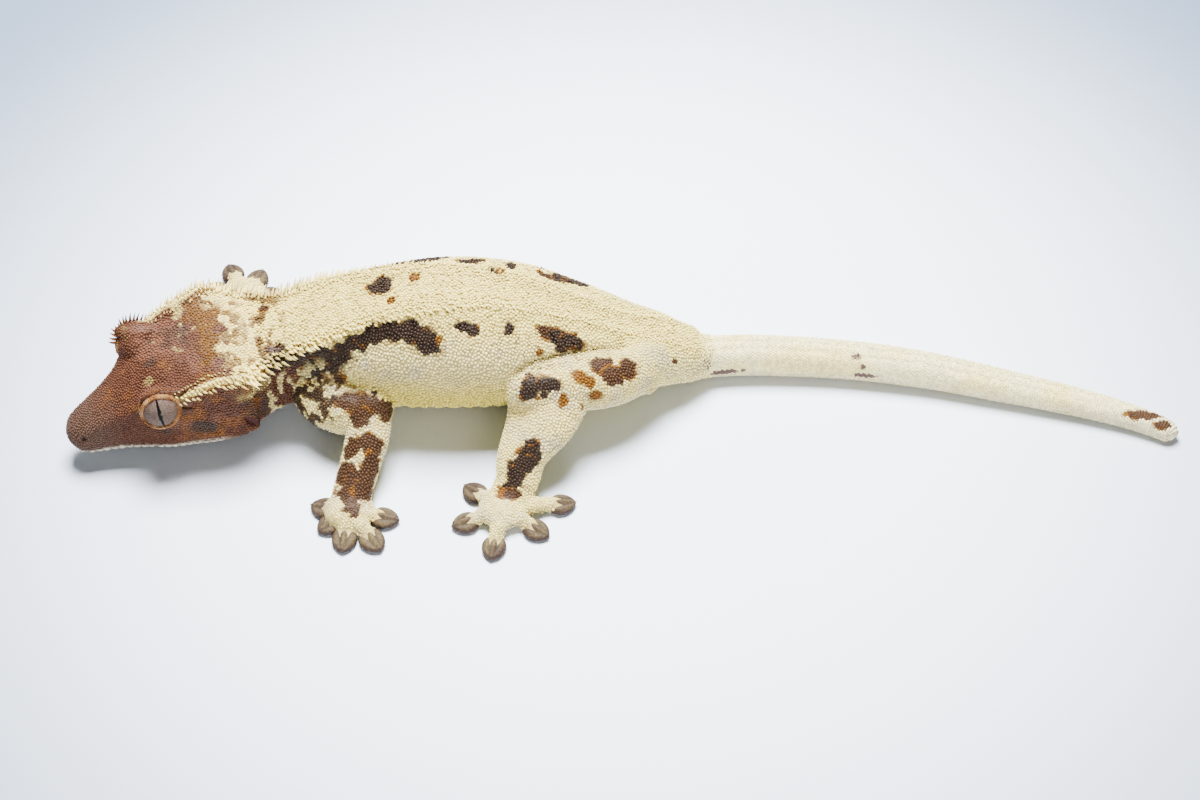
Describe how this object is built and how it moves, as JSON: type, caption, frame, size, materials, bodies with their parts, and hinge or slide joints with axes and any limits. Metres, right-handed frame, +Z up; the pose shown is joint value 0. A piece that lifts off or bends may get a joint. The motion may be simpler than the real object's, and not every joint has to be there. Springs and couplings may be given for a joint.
{
  "type": "crested gecko",
  "caption": "Crested gecko standing at rest with its head turned a little to one side, a spined crest along both sides of the head and neck, and a smooth tapering tail.",
  "frame": {"origin": "on the floor under the middle of the whole animal", "axes": "+X from the snout to the tip of the tail, +Y to the animal's right side, +Z up from the floor"},
  "size_m": [0.2044, 0.0732, 0.0268],
  "materials": {
    "head": "satin, fine beady scales, rust brown with a cream rear",
    "jaw": "satin, fine scales, cream lip row",
    "eye": "wet gloss, silver grey iris with a dark slit pupil",
    "neck": "satin, cream with brown marbling",
    "body": "satin, granular scales, pale cream with chocolate brown marks",
    "tail": "satin, fine ringed scales, pale cream",
    "arm": "satin, coarse flat scales, cream with brown bands",
    "leg": "satin, coarse flat scales, cream with brown blotches",
    "foot": "satin, cream toes with taupe pads"
  },
  "bodies": {
    "root": {"head": "head", "lower_jaw": "jaw", "eye_left": "eye", "eye_right": "eye", "neck": "neck", "torso": "body", "tail_base": "tail", "tail_middle": "tail", "tail_tip": "tail", "left_upper_arm": "arm", "left_forearm": "arm", "right_upper_arm": "arm", "right_forearm": "arm", "left_thigh": "leg", "left_shin": "leg", "right_thigh": "leg", "right_shin": "leg", "left_front_foot": "foot", "right_front_foot": "foot", "left_hind_foot": "foot", "right_hind_foot": "foot"}
  },
  "joints": []
}
